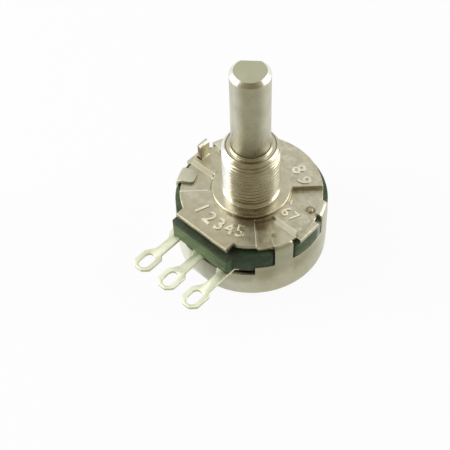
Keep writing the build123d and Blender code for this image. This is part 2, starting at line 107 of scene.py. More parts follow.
def rounded(profile, radius, steps=3):
    """Outline with its inner corners turned into arcs; a third value gives a corner its own radius."""
    softer = []
    for i, corner in enumerate(profile):
        here = Vector(corner[:2])
        size = corner[2] if len(corner) > 2 else radius
        if i in (0, len(profile) - 1):
            softer.append(here)
            continue
        before = Vector(profile[i - 1][:2]) - here
        after = Vector(profile[i + 1][:2]) - here
        cut = min(size, 0.45 * before.length, 0.45 * after.length)
        start = here + before.normalized() * cut
        end = here + after.normalized() * cut
        for step in range(steps + 1):
            t = step / steps
            softer.append(start * (1 - t) ** 2 + here * 2 * t * (1 - t) + end * t ** 2)
    return softer


def lathe(name, profile, segments):
    """Mesh of an open outline of radius and height points turned about the Z axis."""
    mesh = bpy.data.meshes.new(name)
    count = len(profile)
    points = []
    faces = []
    for turn in range(segments):
        angle = 2 * math.pi * turn / segments
        points += [(p.x * math.cos(angle), p.x * math.sin(angle), p.y) for p in profile]
        here, there = turn * count, (turn + 1) % segments * count
        faces += [(here + i, there + i, there + i + 1, here + i + 1) for i in range(count - 1)]
    mesh.from_pydata(points, [], faces)
    return mesh


def new_object(name, data):
    """Object at the origin of the scene."""
    item = bpy.data.objects.new(name, data)
    bpy.context.scene.collection.objects.link(item)
    return item


def baked(holder):
    """Plain mesh of an object with its modifiers applied; the object itself is taken out again."""
    bpy.context.view_layer.update()
    made = bpy.data.meshes.new_from_object(holder.evaluated_get(bpy.context.evaluated_depsgraph_get()))
    bpy.data.objects.remove(holder)
    return made


def place(name, mesh, material, body, node=None):
    """Put a finished mesh in the scene as a piece on its body, in place of its node."""
    shape = bmesh.new()
    shape.from_mesh(mesh)
    bmesh.ops.remove_doubles(shape, verts=shape.verts, dist=1e-7)
    bmesh.ops.recalc_face_normals(shape, faces=shape.faces)
    shape.to_mesh(mesh)
    shape.free()
    mesh.materials.clear()
    mesh.materials.append(material)
    mesh.polygons.foreach_set("use_smooth", [True] * len(mesh.polygons))
    mesh.set_sharp_from_angle(angle=crease_angle)
    piece = new_object(name, mesh)
    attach(piece, body)
    if node:
        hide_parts(node)


def add(tree, kind, settings=None, **values):
    """New node with its settings and the values of its sockets, by name or as n0, n1 and so on."""
    made = tree.nodes.new(kind)
    for key, value in (settings or {}).items():
        setattr(made, key, value)
    for key, value in values.items():
        by_number = key[0] == "n" and key[1:].isdigit()
        socket = made.inputs[int(key[1:]) if by_number else key.replace("_", " ")]
        if isinstance(value, bpy.types.NodeSocket):
            tree.links.new(value, socket)
        else:
            socket.default_value = value
    return made


def maths(tree, operation, *values):
    """Result of one operation on numbers or sockets."""
    sockets = {f"n{i}": value for i, value in enumerate(values)}
    return add(tree, "ShaderNodeMath", {"operation": operation}, **sockets).outputs[0]


def cleared_tree(owner):
    """Empty node tree of a material or a world."""
    owner.use_nodes = True
    owner.node_tree.nodes.clear()
    return owner.node_tree


def surface(name, metallic, **values):
    """Material with one shader, and its node tree."""
    material = bpy.data.materials.new(name)
    tree = cleared_tree(material)
    shader = add(tree, "ShaderNodeBsdfPrincipled", Metallic=metallic, **values)
    add(tree, "ShaderNodeOutputMaterial", Surface=shader.outputs[0])
    return material, tree, shader


def feed(shader, **values):
    """Link values into sockets of a shader."""
    for key, value in values.items():
        shader.id_data.links.new(value, shader.inputs[key.replace("_", " ")])


def grain(tree, size, stretch=(1, 1, 1), detail=3.0, roughness=0.55, offset=(0, 0, 0)):
    """Noise value whose features have this size in metres, drawn out by the stretch."""
    spot = add(tree, "ShaderNodeTexCoord").outputs["Object"]
    scale = [s / size for s in stretch]
    fitted = add(tree, "ShaderNodeMapping", Vector=spot, Location=offset, Scale=scale).outputs[0]
    noise = add(tree, "ShaderNodeTexNoise", Vector=fitted, Scale=1.0, Detail=detail, Roughness=roughness)
    return noise.outputs[0]


def axes_of(tree, turn=0.0):
    """Object coordinates X, Y and Z in axes turned about the Z axis, and the distance R from it."""
    spot = add(tree, "ShaderNodeTexCoord").outputs["Object"]
    turned = add(tree, "ShaderNodeMapping", Vector=spot, Rotation=(0, 0, -turn))
    axes = dict(add(tree, "ShaderNodeSeparateXYZ", n0=turned.outputs[0]).outputs.items())
    flat = add(tree, "ShaderNodeCombineXYZ", X=axes["X"], Y=axes["Y"])
    length = add(tree, "ShaderNodeVectorMath", {"operation": "LENGTH"}, n0=flat.outputs[0])
    return {**axes, "R": length.outputs["Value"]}


def lathe_lines(tree, size):
    """Noise value that runs round the Z axis as the marks of a turning tool do."""
    axes = axes_of(tree)
    ring = add(tree, "ShaderNodeCombineXYZ", X=axes["R"], Y=axes["Z"]).outputs[0]
    noise = add(tree, "ShaderNodeTexNoise", Vector=ring, Scale=1 / size, Detail=2.0, Roughness=0.6)
    return noise.outputs[0]


def spread(tree, value, low, high, to_low=0.0, to_high=1.0):
    """Stretch the middle of a value over a range."""
    return add(tree, "ShaderNodeMapRange", n0=value, n1=low, n2=high, n3=to_low, n4=to_high).outputs[0]


def mixed(tree, share, first, second):
    """Colour between two colours."""
    sides = [c if isinstance(c, bpy.types.NodeSocket) else (*c, 1) for c in (first, second)]
    blend = add(tree, "ShaderNodeMix", {"data_type": "RGBA"}, n0=share, n6=sides[0], n7=sides[1])
    return blend.outputs[2]


def relief(tree, shader, height, depth, under=None):
    """Bump of this depth in metres, over another one if there is one."""
    bump = add(tree, "ShaderNodeBump", Strength=1.0, Distance=depth, Height=height)
    if under:
        tree.links.new(under.outputs[0], bump.inputs["Normal"])
    feed(shader, Normal=bump.outputs[0])
    return bump


def plated_metal(
    name,
    bright,
    dull,
    roughness,
    patch=2.5 * mm,
    mottled=0.28,
    marks=0.25 * mm,
    turned=False,
    anisotropic=0.0,
):
    """Plated metal with duller patches, uneven gloss and fine marks, which run round a turned piece."""
    material, tree, shader = surface(name, 1.0, Anisotropic=anisotropic, Anisotropic_Rotation=0.25)
    patches = spread(tree, grain(tree, patch, detail=5.0), 0.35, 0.68)
    specks = spread(tree, grain(tree, 0.35 * mm, detail=2.0, offset=(7, 3, 1)), 0.45, 0.75)
    clouded = mixed(tree, patches, bright, dull)
    gloss = grain(tree, 1.1 * mm, detail=4.0, offset=(2, 9, 4))
    feed(
        shader,
        Base_Color=mixed(tree, spread(tree, specks, 0, 1, 0, mottled), clouded, dull),
        Roughness=spread(tree, gloss, 0.3, 0.7, roughness - 0.06, roughness + 0.08),
    )
    pitting = relief(tree, shader, grain(tree, 0.16 * mm, detail=3.0), 0.006 * mm)
    lines = lathe_lines(tree, marks) if turned else grain(tree, 0.5 * mm, stretch=(1, 6, 1), offset=(1, 4, 6))
    relief(tree, shader, lines, 0.012 * mm if turned else 0.006 * mm, under=pitting)
    return material


def shader_of(material):
    """Main shader of a material, and what feeds its base colour."""
    shader = next(n for n in material.node_tree.nodes if n.type == "BSDF_PRINCIPLED")
    return shader, shader.inputs["Base Color"].links[0].from_socket


def span(low, high, soft, above=0.0):
    """Low and high end of a mark, in millimetres above a level, and its soft edge, as metres."""
    return above + low * mm, above + high * mm, soft * mm


def touched(material, colour, strength, turn=0.0, frosted=False, **bounds):
    """Lay a colour over the part of a surface inside spans of X, Y, Z or R, in axes turned about Z."""
    tree = material.node_tree
    shader, under = shader_of(material)
    axes = axes_of(tree, turn)
    share = spread(tree, grain(tree, 0.6 * mm, detail=3.0), 0.25, 0.6, 0.75 * strength, strength)
    for axis, (low, high, soft) in bounds.items():
        rising = spread(tree, axes[axis], low - soft, low)
        falling = spread(tree, axes[axis], high, high + soft, 1, 0)
        share = maths(tree, "MULTIPLY", share, maths(tree, "MULTIPLY", rising, falling))
    feed(shader, Base_Color=mixed(tree, share, under, colour))
    if frosted:
        bare = spread(tree, share, 0, 1, 1, 0)
        if shader.inputs["Metallic"].is_linked:
            bare = maths(tree, "MULTIPLY", shader.inputs["Metallic"].links[0].from_socket, bare)
        feed(shader, Metallic=bare)


def thread_tree():
    """Tree that rolls a right-hand thread on the open barrel it is given and closes the two together."""
    tree = bpy.data.node_groups.new("rolled_thread", "GeometryNodeTree")
    kinds = {"Segments": "NodeSocketInt", "Rows": "NodeSocketInt", "Material": "NodeSocketMaterial"}
    for size in ("Outer Radius", "Neck Radius", "Depth", "Pitch", "Run-out", "Chamfer", "First Turns"):
        kinds[size] = "NodeSocketFloat"
    for level in ("Bottom", "Top"):
        kinds[level] = "NodeSocketFloat"
    tree.interface.new_socket("Geometry", in_out="INPUT", socket_type="NodeSocketGeometry")
    for name, kind in kinds.items():
        tree.interface.new_socket(name, in_out="INPUT", socket_type=kind)
    tree.interface.new_socket("Geometry", in_out="OUTPUT", socket_type="NodeSocketGeometry")
    given = tree.nodes.new("NodeGroupInput").outputs

    # A grid of one by one: X is the turn round the barrel and Y the rise along the thread
    across = maths(tree, "ADD", given["Segments"], 1)
    along = maths(tree, "ADD", given["Rows"], 1)
    grid = add(tree, "GeometryNodeMeshGrid", Size_X=1.0, Size_Y=1.0, Vertices_X=across, Vertices_Y=along)
    spot = add(tree, "ShaderNodeSeparateXYZ", n0=tree.nodes.new("GeometryNodeInputPosition").outputs[0])
    turn = maths(tree, "ADD", spot.outputs["X"], 0.5)
    rise = maths(tree, "ADD", spot.outputs["Y"], 0.5)
    length = maths(tree, "SUBTRACT", given["Top"], given["Bottom"])
    up = maths(tree, "MULTIPLY", rise, length)
    left = maths(tree, "SUBTRACT", length, up)

    # The ridge climbs one pitch a turn, and its valleys are deeper in the first turns at the mouth
    wave = maths(tree, "FRACT", maths(tree, "SUBTRACT", maths(tree, "DIVIDE", up, given["Pitch"]), turn))
    slope = maths(tree, "ABSOLUTE", maths(tree, "MULTIPLY_ADD", wave, 2.0, -1.0))
    ridge = maths(tree, "SUBTRACT", 1.0, slope)
    smooth = {"interpolation_type": "SMOOTHSTEP"}
    shaped = add(tree, "ShaderNodeMapRange", smooth, Value=ridge, From_Min=0.05, From_Max=0.95)
    first = given["First Turns"]
    cut = add(tree, "ShaderNodeMapRange", Value=left, From_Max=first, To_Min=2.2, To_Max=0.7)
    valley = maths(tree, "MULTIPLY", maths(tree, "SUBTRACT", 1.0, shaped.outputs[0]), cut.outputs[0])
    crest = given["Outer Radius"]
    threaded = maths(tree, "SUBTRACT", crest, maths(tree, "MULTIPLY", given["Depth"], valley))

    # It runs out into the neck below, and the chamfer cuts it above
    started = add(tree, "ShaderNodeMapRange", smooth, Value=up, From_Max=given["Run-out"]).outputs[0]
    ends = {"To_Min": given["Neck Radius"], "To_Max": threaded}
    run_out = add(tree, "ShaderNodeMapRange", {"clamp": False}, Value=started, **ends)
    bevel = maths(tree, "MAXIMUM", maths(tree, "SUBTRACT", given["Chamfer"], left), 0.0)
    radius = maths(tree, "MINIMUM", run_out.outputs[0], maths(tree, "SUBTRACT", crest, bevel))
    angle = maths(tree, "MULTIPLY", turn, 2 * math.pi)
    point = add(
        tree,
        "ShaderNodeCombineXYZ",
        X=maths(tree, "MULTIPLY", radius, maths(tree, "COSINE", angle)),
        Y=maths(tree, "MULTIPLY", radius, maths(tree, "SINE", angle)),
        Z=maths(tree, "ADD", given["Bottom"], up),
    )
    moved = add(tree, "GeometryNodeSetPosition", Geometry=grid.outputs["Mesh"], Position=point.outputs[0])
    joined = tree.nodes.new("GeometryNodeJoinGeometry")
    tree.links.new(given["Geometry"], joined.inputs[0])
    tree.links.new(moved.outputs[0], joined.inputs[0])
    welded = add(tree, "GeometryNodeMergeByDistance", Geometry=joined.outputs[0], Distance=2e-6)
    real = add(tree, "GeometryNodeRealizeInstances", Geometry=welded.outputs[0])
    dressed = add(tree, "GeometryNodeSetMaterial", Geometry=real.outputs[0], Material=given["Material"])
    add(tree, "NodeGroupOutput", n0=dressed.outputs[0])
    return tree


def grown(name, mesh, tree, inputs):
    """Plain mesh that a tree of geometry nodes makes from a mesh and its named inputs."""
    holder = new_object(name, mesh)
    modifier = holder.modifiers.new(name, "NODES")
    modifier.node_group = tree
    for item in tree.interface.items_tree:
        if item.item_type == "SOCKET" and item.in_out == "INPUT" and item.name in inputs:
            modifier[item.identifier] = inputs[item.name]
    return baked(holder)


bushing_metal = plated_metal(
    "nickel_plated_brass", nickel_on_brass, nickel_on_brass_dull, 0.24, turned=True, marks=0.1 * mm
)

# Marks on the side that the photograph shows lie in axes turned by near_side, where that side faces -Y.
# On the bushing: painted shade in a crease and a worn lip at the mouth, painted brown shade at the front of
# the mouth, at the foot and on the front of the flange, a painted highlight on one flank, painted shade in
# the first thread grooves, and a duller flange.
near_side = math.radians(42.4)
near_mouth = span(-0.7, 0, 0.1, above=barrel_high.z)
near_foot = span(0.05, 0.9, 0.2, above=mounting_level)
flank = (mounting_level + 0.2 * mm, barrel_high.z - 0.5 * mm, 0.2 * mm)
first_grooves = (barrel_high.z - 3.4 * mm, barrel_high.z - mm, 0.3 * mm)
on_flange = (land_level, mounting_level + 0.02 * mm, 0.02 * mm)
flange_front = span(-6.6, -5.75, 0.25)
touched(bushing_metal, painted_crease_shade, 0.8, R=span(3.74, 3.88, 0.07), Z=near_mouth)
touched(bushing_metal, worn_lip, 0.8, R=span(3.3, 3.66, 0.06), Z=near_mouth)
touched(bushing_metal, painted_brown_shade, 0.25, near_side, X=span(-1.3, 1.3, 0.8), Y=span(-3.8, -3, 0.1), Z=near_mouth)
touched(bushing_metal, painted_brown_shade, 0.06, near_side, X=span(-2.4, 2.4, 1), Y=span(-5, -3, 0.2), Z=near_foot)
touched(bushing_metal, painted_flank_highlight, 0.9, near_side, X=span(-4.6, -3.4, 0.5), R=span(4.05, 4.6, 0.1), Z=flank)
touched(bushing_metal, painted_crease_shade, 0.5, R=span(3.9, 4.27, 0.06), Z=first_grooves)
touched(bushing_metal, dull_flange, 0.6, R=span(4.8, 5.9, 0.1), Z=on_flange)
touched(bushing_metal, painted_brown_shade, 0.8, near_side, X=span(-2.4, 2.4, 1.4), Y=flange_front, Z=on_flange)

barrel_profile = [
    (thread_radius - thread_end_chamfer, thread_end),
    (mouth_radius, nose_level),
    (nose_foot_radius, nose_level),
    (nose_radius, barrel_high.z),
    (bore_radius, barrel_high.z),
    (bore_radius, barrel_low.z),
    (stake_radius, barrel_low.z),
    (stake_radius, barrel_low.z + stake_height),
    (spigot_radius, barrel_low.z + stake_height),
    (spigot_radius, land_level),
    (flange_radius, land_level),
    (flange_radius, mounting_level, flange_corner),
    (neck_foot_radius, mounting_level, neck_foot_corner),
    (neck_radius, mounting_level + neck_foot_height, neck_fillet),
    (neck_radius, thread_start),
]
open_barrel = lathe("open_barrel", rounded(barrel_profile, turned_edge), turning_segments)
thread_inputs = {
    "Outer Radius": thread_radius,
    "Depth": thread_depth,
    "Pitch": thread_pitch,
    "Neck Radius": neck_radius,
    "Run-out": thread_run_out,
    "Chamfer": thread_end_chamfer,
    "Bottom": thread_start,
    "Top": thread_end,
    "First Turns": first_turns,
    "Segments": turning_segments,
    "Rows": round((thread_end - thread_start) / thread_pitch * rows_per_turn),
    "Material": bushing_metal,
}
threaded_barrel = grown("threaded_barrel", open_barrel, thread_tree(), thread_inputs)
place("threaded_bushing", threaded_barrel, bushing_metal, "housing", "mounting_bushing")


# Front plate
# Blanked from 0.8 mm steel and nickel-plated, with four recesses pressed down round a raised hub, so that
# two lands and two straight bars stay up between them. A straight-edged ear covers the terminals.
sheet_thickness = 0.8 * mm
plate_step = 0.85 * mm
sheet_radius = 11.25 * mm
sheet_edge = 0.16 * mm
hub_edge = 6.25 * mm
hub_bend = 0.4 * mm
ear_half_width = 5.3 * mm
ear_front = 11.45 * mm
ear_start = 9 * mm
tab_reach = 12.0 * mm
tab_half_width = 2.15 * mm
tab_start = 10 * mm
bar_side_bend = (1.65 * mm, 2.15 * mm)
bar_end_bend = (10.85 * mm, 11.2 * mm)
land_bend = (42.2, 44.4)
pip_radius = 0.8 * mm
pip_crown = 0.35
pip_height = 0.35 * mm
pip_centre = Vector((9.31, 3.28)) * mm
lug_inner_face = 9.8 * mm
window_low = Vector((-11.4 * mm, -1.1 * mm, land_level - 3 * mm))
window_high = Vector((-lug_inner_face, 1.1 * mm, land_level + mm))
nickel_on_steel = (0.58, 0.56, 0.435)
nickel_on_steel_dull = (0.42, 0.385, 0.27)
satin = (0.6, 0.565, 0.41)
pale_satin = (0.71, 0.675, 0.51)
bend_satin = (0.5, 0.48, 0.34)
painted_edge_highlight = (1.0, 0.97, 0.86)
dull_bar = (0.42, 0.38, 0.24)
dull_land = (0.4, 0.35, 0.23)
dull_recess = (0.45, 0.41, 0.3)
painted_corner_shadow = (0.1, 0.065, 0.035)


def eased(value, start, end):
    """Smooth step from 0 at the start to 1 at the end."""
    t = min(max((value - start) / (end - start), 0), 1)
    return t * t * (3 - 2 * t)


def sheet_reach(angle):
    """Distance from the axis to the edge of the sheet in a direction, in radians."""
    x, y = abs(math.cos(angle)), math.sin(angle)
    reach = sheet_radius
    if y < 0:
        ear = min(ear_half_width / max(x, 1e-9), ear_front / -y)
        if ear * -y > ear_start:
            reach = max(reach, ear)
    tab = min(tab_half_width / max(abs(y), 1e-9), tab_reach / max(x, 1e-9))
    if tab * x > tab_start:
        reach = max(reach, tab)
    return reach


def sheet_height(radius, angle):
    """Level of the top of the sheet."""
    x, y = abs(radius * math.cos(angle)), abs(radius * math.sin(angle))
    in_sector = 1 - eased(math.degrees(math.atan2(y, x)), *land_bend)
    on_bar = (1 - eased(y, *bar_side_bend)) * (1 - eased(x, *bar_end_bend))
    recess = in_sector * (1 - on_bar) * eased(radius, hub_edge, hub_edge + hub_bend)
    spot = Vector((radius * math.cos(angle), radius * math.sin(angle)))
    pip = 1 - eased((spot - pip_centre).length, pip_crown * pip_radius, pip_radius)
    return land_level - plate_step * recess + pip_height * pip


def sheet_angles():
    """Directions round the sheet: even ones, closer ones at the folds and the pip, and the corners."""
    even_step = 1.25
    bar_fold_start, bar_fold_step, bar_fold_steps = 6.5, 0.35, 42
    land_fold_start, land_fold_step, land_fold_steps = land_bend[0] - 0.6, 0.2, 18
    angles = {even_step * i for i in range(round(360 / even_step))}
    folds = [bar_fold_start + bar_fold_step * i for i in range(bar_fold_steps)]
    folds += [land_fold_start + land_fold_step * i for i in range(land_fold_steps)]
    folds.append(math.degrees(math.atan2(tab_half_width, tab_reach)))
    folds.append(math.degrees(math.asin(tab_half_width / sheet_radius)))
    for fold in folds:
        angles |= {fold, 180 - fold, 180 + fold, 360 - fold}
    for corner in (math.atan2(ear_front, ear_half_width), math.acos(ear_half_width / sheet_radius)):
        angles |= {360 - math.degrees(corner), 180 + math.degrees(corner)}
    pip_turn = math.degrees(math.atan2(pip_centre.y, pip_centre.x))
    angles |= {pip_turn + 0.6 * i for i in range(-9, 10)}
    return [math.radians(a) for a in sorted({round(a, 4) for a in angles})]


def pressed_sheet(name):
    """Closed mesh of the sheet: rings of points over the top, round the edge and back under."""
    edge_steps = 4
    bend_rings = 9
    flat_rings = 34
    end_rings = 14
    points = []
    angles = sheet_angles()
    for angle in angles:
        reach = sheet_reach(angle)
        radii = [spigot_radius, spigot_radius + 0.05 * mm, 0.9 * hub_edge]
        radii += [hub_edge + hub_bend * (i - 1) / 6 for i in range(bend_rings)]
        first = radii[-1]
        last = bar_end_bend[0] - 0.15 * mm
        radii += [first + (last - first) * i / flat_rings for i in range(1, flat_rings + 1)]
        radii += [last + (reach - sheet_edge - last) * i / end_rings for i in range(1, end_rings + 1)]
        top = [(r, sheet_height(r, angle)) for r in radii]
        rim_level = sheet_height(reach, angle)
        rim = []
        for step in range(1, edge_steps + 1):
            turn = math.pi / 2 * step / edge_steps
            inward, down = sheet_edge * (1 - math.sin(turn)), sheet_edge * (1 - math.cos(turn))
            rim.append((reach - inward, rim_level - down))
        under = [(r, z - sheet_thickness) for r, z in reversed(top)]
        lower = [(r, 2 * rim_level - sheet_thickness - z) for r, z in reversed(rim)]
        points += [(r * math.cos(angle), r * math.sin(angle), z) for r, z in top + rim + lower + under]
    count = len(points) // len(angles)
    faces = []
    for turn in range(len(angles)):
        here, there = turn * count, (turn + 1) % len(angles) * count
        for i in range(count):
            j = (i + 1) % count
            faces.append((here + i, here + j, there + j, there + i))
    mesh = bpy.data.meshes.new(name)
    mesh.from_pydata(points, [], faces)
    return mesh


def pierced(mesh, low, high):
    """Mesh with a square hole punched through it between two corners."""
    shape = bmesh.new()
    bmesh.ops.create_cube(shape, size=1)
    bmesh.ops.scale(shape, vec=high - low, verts=shape.verts)
    bmesh.ops.translate(shape, vec=(low + high) / 2, verts=shape.verts)
    punch_mesh = bpy.data.meshes.new("punch")
    shape.to_mesh(punch_mesh)
    shape.free()
    punch = new_object("punch", punch_mesh)
    holder = new_object(mesh.name, mesh)
    hole = holder.modifiers.new("hole", "BOOLEAN")
    hole.operation = "DIFFERENCE"
    hole.solver = "EXACT"
    hole.object = punch
    made = baked(holder)
    bpy.data.objects.remove(punch)
    return made


plate_metal = plated_metal(
    "nickel_plated_sheet", nickel_on_steel, nickel_on_steel_dull, 0.34, patch=1.3 * mm, mottled=0.6
)

# Satin on the sides and the end of the bars, and painted shade on one bar's far side
touched(plate_metal, satin, 1.3, frosted=True, X=span(-10.8, -6.7, 0.15), Y=span(-2.2, -1.62, 0.03))
touched(plate_metal, pale_satin, 1.05, frosted=True, X=span(6.9, 10.7, 0.4), Y=span(-2.2, -1.68, 0.06))
touched(plate_metal, painted_brown_shade, 0.75, X=span(-10.9, -6.6, 0.1), Y=span(1.66, 2.2, 0.06))
touched(plate_metal, bend_satin, 0.4, frosted=True, X=span(10.85, 11.2, 0.05), Y=span(-1.8, 1.8, 0.1))

# Painted brown shade at the pip, at the hub's foot and in a recess, then duller plate on a bar, a land and a
# recess, and a painted shadow on one side of the ear's corner
touched(plate_metal, painted_brown_shade, 0.4, X=span(8.7, 9.9, 0.2), Y=span(2.7, 3.9, 0.2))
touched(plate_metal, painted_brown_shade, 0.8, near_side, X=span(-1.8, 1.8, 1.1), Y=span(-7.4, -5, 0.5))
touched(plate_metal, painted_brown_shade, 0.12, near_side, X=span(0.8, 4.4, 0.6), Y=span(-10.6, -7.2, 0.6))
touched(plate_metal, dull_bar, 0.3, X=span(-11.5, -6.5, 0.5), Y=span(-1.6, 8, 0.3))
touched(plate_metal, dull_land, 0.55, X=span(-5.5, 4, 1.5), Y=span(-11.6, -8, 1.5))
touched(plate_metal, dull_recess, 0.5, X=span(-10.5, -4, 1), Y=span(-6.5, -2.6, 0.4))
touched(plate_metal, painted_corner_shadow, 0.9, X=span(5.12, 5.6, 0.1), Y=span(-11.35, -9.7, 0.15))

# Painted highlights: bright lines where the two recesses beside the land over the terminals begin
left_border = math.radians(land_bend[1])
front_border = math.radians(90 - land_bend[1])
along_border = span(-11.3, -6.9, 0.2)
touched(plate_metal, painted_edge_highlight, 0.5, left_border, X=along_border, Y=span(-0.12, 0.02, 0.06))
touched(plate_metal, painted_edge_highlight, 0.5, front_border, X=span(-0.02, 0.1, 0.06), Y=along_border)

blank = pierced(pressed_sheet("pressed_plate"), window_low, window_high)
place("pressed_plate", blank, plate_metal, "housing", "front_plate")


# Locating lug
# A tab of the same sheet, cut on three sides and bent upright at the end of a bar,
# so that the body cannot turn in its panel. The sheared edges are left nearly square.
lug_half_width = 0.95 * mm
lug_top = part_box("front_plate")[1].z
lug_bend = 0.35 * mm
lug_outer_bend = 0.6 * mm
lug_top_corners = (0.25 * mm, 0.2 * mm)
lug_sunk = 0.01 * mm
lug_root = 0.7 * sheet_thickness
sheared_edge = 0.04 * mm


def bent_lug(name):
    """Strip that leaves the plate under its surface and turns up to the lug's top."""
    outer_face = lug_inner_face + sheet_thickness
    side = [
        (lug_inner_face - lug_bend, land_level - lug_sunk),
        (lug_inner_face, land_level - lug_sunk, lug_bend),
        (lug_inner_face, lug_top, lug_top_corners[0]),
        (outer_face, lug_top, lug_top_corners[1]),
        (outer_face, land_level - lug_root, lug_outer_bend),
        (lug_inner_face - lug_bend, land_level - lug_root),
    ]
    shape = bmesh.new()
    outline = rounded(side, 0, steps=5)
    face = shape.faces.new([shape.verts.new((-p.x, -lug_half_width, p.y)) for p in outline])
    widened = bmesh.ops.extrude_face_region(shape, geom=[face])["geom"]
    moved = [v for v in widened if isinstance(v, bmesh.types.BMVert)]
    bmesh.ops.translate(shape, verts=moved, vec=(0, 2 * lug_half_width, 0))
    sheared = [e for e in shape.edges if abs(e.verts[0].co.y - e.verts[1].co.y) < 1e-6]
    bmesh.ops.bevel(shape, geom=sheared, offset=sheared_edge, segments=2, profile=0.5, affect="EDGES")
    mesh = bpy.data.meshes.new(name)
    shape.to_mesh(mesh)
    shape.free()
    return mesh


lug_metal = plated_metal("nickel_plated_lug", (0.56, 0.54, 0.42), (0.43, 0.39, 0.28), 0.34, patch=3 * mm)
# Painted shade on the lug's near side and a painted highlight on the inner edge of its top
touched(lug_metal, painted_brown_shade, 0.9, Y=span(-1.2, -0.93, 0.03), Z=(0, lug_top - 0.3 * mm, 0.1 * mm))
touched(lug_metal, painted_edge_highlight, 0.85, X=span(-10.2, -9.7, 0.06), Z=span(-0.3, 0, 0.1, above=lug_top))
place("locating_lug", bent_lug("locating_lug"), lug_metal, "housing")


# Raised numbers
# Plain digits pressed up from the sheet, one to nine, on the front land, the right bar and the back land, as
# on a dial. They stand 0.14 mm above the sheet, with soft edges, and their metal is paler than the sheet, for
# worn crests and as a painted highlight.
digit_rise = 0.14 * mm
digit_sunk = 0.1 * mm
land_digit = 2.3 * mm
bar_digit = 1.9 * mm
front_land_turns = (-110.3, -95.3, -82.0, -70.6, -59.4)
back_land_turns = (68.5, 52.0)
digits = [(turn, 8.55 * mm, turn + 90, land_digit) for turn in front_land_turns]
digits += [(0.5, distance, 0, bar_digit) for distance in (7.1 * mm, 8.7 * mm)]
digits += [(turn, 8.4 * mm, turn - 90, land_digit) for turn in back_land_turns]


def digit_mesh(body):
    """Flat-backed solid of one character, with a softened face, about one unit high."""
    curve = bpy.data.curves.new(f"digit_{body}", "FONT")
    curve.body = body
    curve.align_x = "CENTER"
    curve.align_y = "CENTER"
    curve.extrude = 0.03
    curve.bevel_depth = 0.02
    curve.bevel_resolution = 1
    curve.resolution_u = 4
    return baked(new_object(f"digit_{body}", curve))


numbers = bmesh.new()
for i, (turn, distance, facing, height) in enumerate(digits):
    mesh = digit_mesh(str(i + 1))
    low, high = [[pick(v.co[axis] for v in mesh.vertices) for axis in range(3)] for pick in (min, max)]
    across = height / (high[1] - low[1])
    middle = Matrix.Translation([-(a + b) / 2 for a, b in zip(low, high)])
    flat = Matrix.Diagonal((across, across, (digit_rise + digit_sunk) / (high[2] - low[2]), 1))
    spot = Vector((math.cos(math.radians(turn)), math.sin(math.radians(turn)), 0)) * distance
    spot.z = land_level + (digit_rise - digit_sunk) / 2
    mesh.transform(Matrix.Translation(spot) @ Matrix.Rotation(math.radians(facing), 4, "Z") @ flat @ middle)
    numbers.from_mesh(mesh)
number_mesh = bpy.data.meshes.new("raised_numbers")
numbers.to_mesh(number_mesh)
numbers.free()
# Paler metal: worn crests, and a painted highlight on the raised digits
digit_metal = plated_metal("worn_crests_painted_highlight", (0.86, 0.82, 0.67), (0.64, 0.6, 0.46), 0.3)
place("raised_numbers", number_mesh, digit_metal, "housing")


# Shaft
# Bright-drawn steel bar, nickel-plated: chamfered end, a flat milled for the knob,
# and behind the bushing a groove, a keyed rear and a riveted tail that carry the moving parts.
shaft_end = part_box("shaft")[1].z
relief_radius = 2.96 * mm
relief_reach = 0.5 * mm
drawn_steel = (0.56, 0.54, 0.43)
drawn_steel_dull = (0.47, 0.45, 0.34)
faced_steel = (0.43, 0.435, 0.30)
painted_chamfer_highlight = (0.9, 0.9, 0.82)
shaft_metal = plated_metal(
    "nickel_plated_shaft", drawn_steel, drawn_steel_dull, 0.3, turned=True, anisotropic=0.5
)
shader, bar_shade = shader_of(shaft_metal)
tree = shaft_metal.node_tree
faced_end = spread(tree, axes_of(tree)["Z"], shaft_end - 0.04 * mm, shaft_end - 0.01 * mm)
feed(shader, Base_Color=mixed(tree, faced_end, bar_shade, faced_steel))
# Painted highlights on the left and right of the end chamfer
chamfer = {"R": span(2.44, 3.2, 0.03), "Z": span(-0.75, 0, 0.02, above=shaft_end)}
for side in (span(-3.2, -1.9, 0.35), span(1.9, 3.2, 0.35)):
    touched(shaft_metal, painted_chamfer_highlight, 0.85, near_side, X=side, **chamfer)


def softened(name, node, width, segments=2, angle=32):
    """Mesh of a node with its loose triangles joined and every sharp edge rounded a little."""
    shape = bmesh.new()
    shape.from_mesh(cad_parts[node].data)
    bmesh.ops.remove_doubles(shape, verts=shape.verts, dist=2e-6)
    bmesh.ops.dissolve_limit(shape, angle_limit=math.radians(0.5), verts=shape.verts, edges=shape.edges)
    mesh = bpy.data.meshes.new(name)
    shape.to_mesh(mesh)
    shape.free()
    holder = new_object(name, mesh)
    bevel = holder.modifiers.new("edge", "BEVEL")
    bevel.width = width
    bevel.segments = segments
    bevel.limit_method = "ANGLE"
    bevel.angle_limit = math.radians(angle)
    bevel.harden_normals = False
    return baked(holder)


round_bar = softened("turned_shaft", "shaft", 0.05 * mm)
for point in round_bar.vertices:
    if abs(point.co.z - barrel_high.z) < relief_reach and point.co.xy.length < relief_radius:
        point.co.xy = point.co.xy.normalized() * relief_radius
place("turned_shaft", round_bar, shaft_metal, "spindle", "shaft")


# Thrust washer, retaining ring and stop plate
# Punched from zinc-plated steel strip and slid or snapped on the back of the shaft:
# together they hold it in the bushing and stop it at both ends of its turn.
def finished(name, node, edge, material, body, slot, **how):
    """Put a node's own shape back as a piece, with its edges rounded and its finish on."""
    place(name, softened(name, node, edge, **how), material, body, node)


